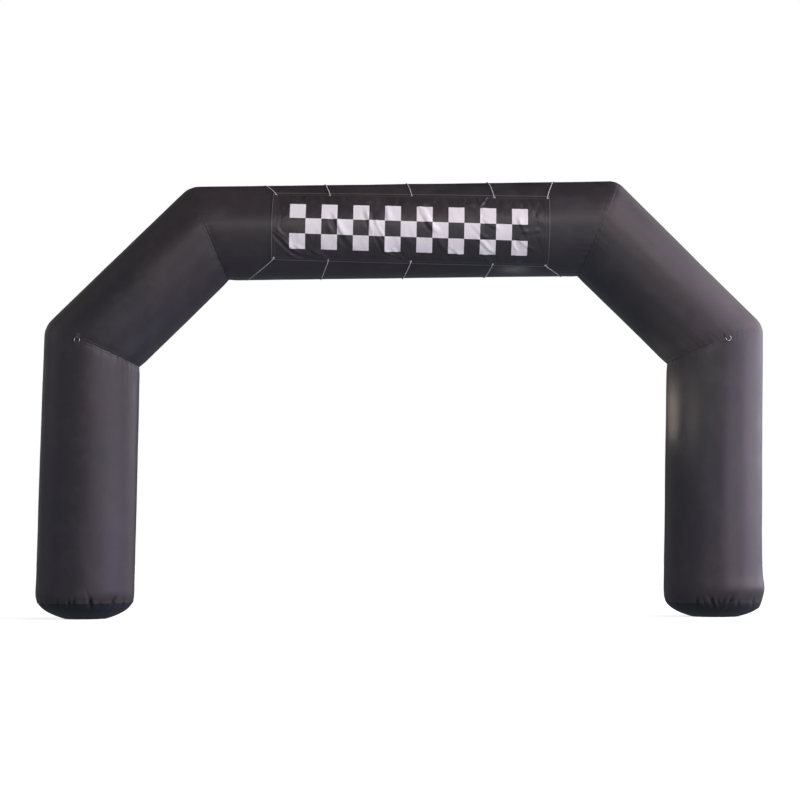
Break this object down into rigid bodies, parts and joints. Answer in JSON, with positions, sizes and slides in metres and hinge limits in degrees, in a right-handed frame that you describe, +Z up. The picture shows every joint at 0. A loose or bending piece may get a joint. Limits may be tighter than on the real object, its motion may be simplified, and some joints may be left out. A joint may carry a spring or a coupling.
{
  "type": "inflatable arch",
  "caption": "Free-standing air-filled fabric arch with upright legs, slanting arms, a level crossbeam, a laced front banner and guy-line rings.",
  "frame": {"origin": "on the ground, midway between the arch's outer left and right sides and on the centre plane of its tubes", "axes": "+Z up, +X along the crossbeam to the right as seen from the front, the banner faces -Y"},
  "size_m": [6.1392, 0.8385, 3.7068],
  "materials": {
    "tube_fabric": "satin coated polyester, taut, charcoal black",
    "foot_fabric": "heavier coated fabric, satin, black, gathered at its seam",
    "banner_fabric": "satin coated polyester, charcoal black, with a pale chequered band",
    "lacing_cord": "braided polyester cord, pale grey",
    "nickel": "nickel-plated, bright",
    "black_webbing": "woven polyester webbing, black, matt"
  },
  "bodies": {
    "root": {"leg_left": "tube_fabric", "arm_left": "tube_fabric", "crossbeam": "tube_fabric", "arm_right": "tube_fabric", "leg_right": "tube_fabric", "foot_left": "foot_fabric", "foot_right": "foot_fabric", "banner": "banner_fabric", "eyelet_upper_1": "nickel", "eyelet_upper_2": "nickel", "eyelet_upper_3": "nickel", "eyelet_upper_4": "nickel", "eyelet_upper_5": "nickel", "eyelet_lower_1": "nickel", "eyelet_lower_2": "nickel", "eyelet_lower_3": "nickel", "eyelet_lower_4": "nickel", "eyelet_lower_5": "nickel", "d_ring_left": "nickel", "d_ring_right": "nickel", "lacing_cord_1": "lacing_cord", "lacing_cord_2": "lacing_cord", "lacing_cord_3": "lacing_cord", "lacing_cord_4": "lacing_cord", "lacing_cord_5": "lacing_cord", "ring_tab_left": "black_webbing", "ring_tab_right": "black_webbing"}
  },
  "joints": []
}
